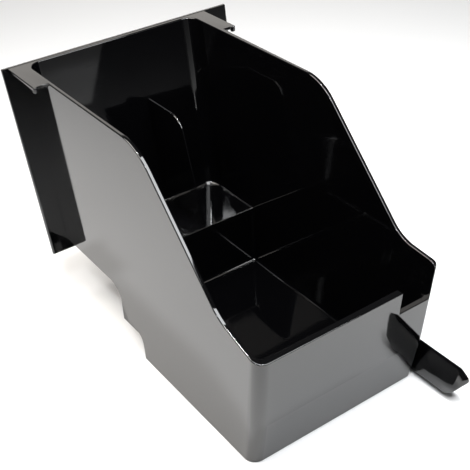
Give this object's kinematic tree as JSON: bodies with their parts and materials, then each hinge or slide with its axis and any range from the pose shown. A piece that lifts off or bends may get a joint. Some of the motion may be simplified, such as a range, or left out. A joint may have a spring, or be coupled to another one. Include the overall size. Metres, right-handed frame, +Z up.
{
  "type": "automatic pet feeder food bin",
  "caption": "Open glossy black food bin with a sloped side profile, stepped floor, upright divider, rear wing plate with ears, and a sprung hand lever at the lower front corner.",
  "frame": {"origin": "middle of the flat underside of the deep part, on the bin's centre plane", "axes": "+X to the lever side, +Y to the wing plate at the back, -Y to the low front wall, +Z up"},
  "size_m": [0.1585, 0.2532, 0.1575],
  "materials": {
    "gloss_black": "polished",
    "steel": "zinc plated",
    "acetal": "natural",
    "rubber": "matte"
  },
  "bodies": {
    "bin_body": {"bin": "gloss_black", "wing_plate": "gloss_black", "plate_screws": "steel", "divider": "gloss_black", "thrust_washer": "acetal", "cap_washer": "steel", "pivot_screw": "steel", "rest_stop": "rubber", "return_spring": "steel"},
    "lever_body": {"lever": "gloss_black", "lever_bush": "acetal"}
  },
  "joints": [
    {"name": "lever_pivot", "type": "hinge", "parent": "bin_body", "child": "lever_body", "pos_m": [0.0618, -0.009, 0.0142], "axis": [-1, 0, 0], "range_deg": [0, 12], "stiffness_Nm_per_rad": 0.2, "springref_deg": -17.19, "deforming": ["return_spring"]}
  ]
}
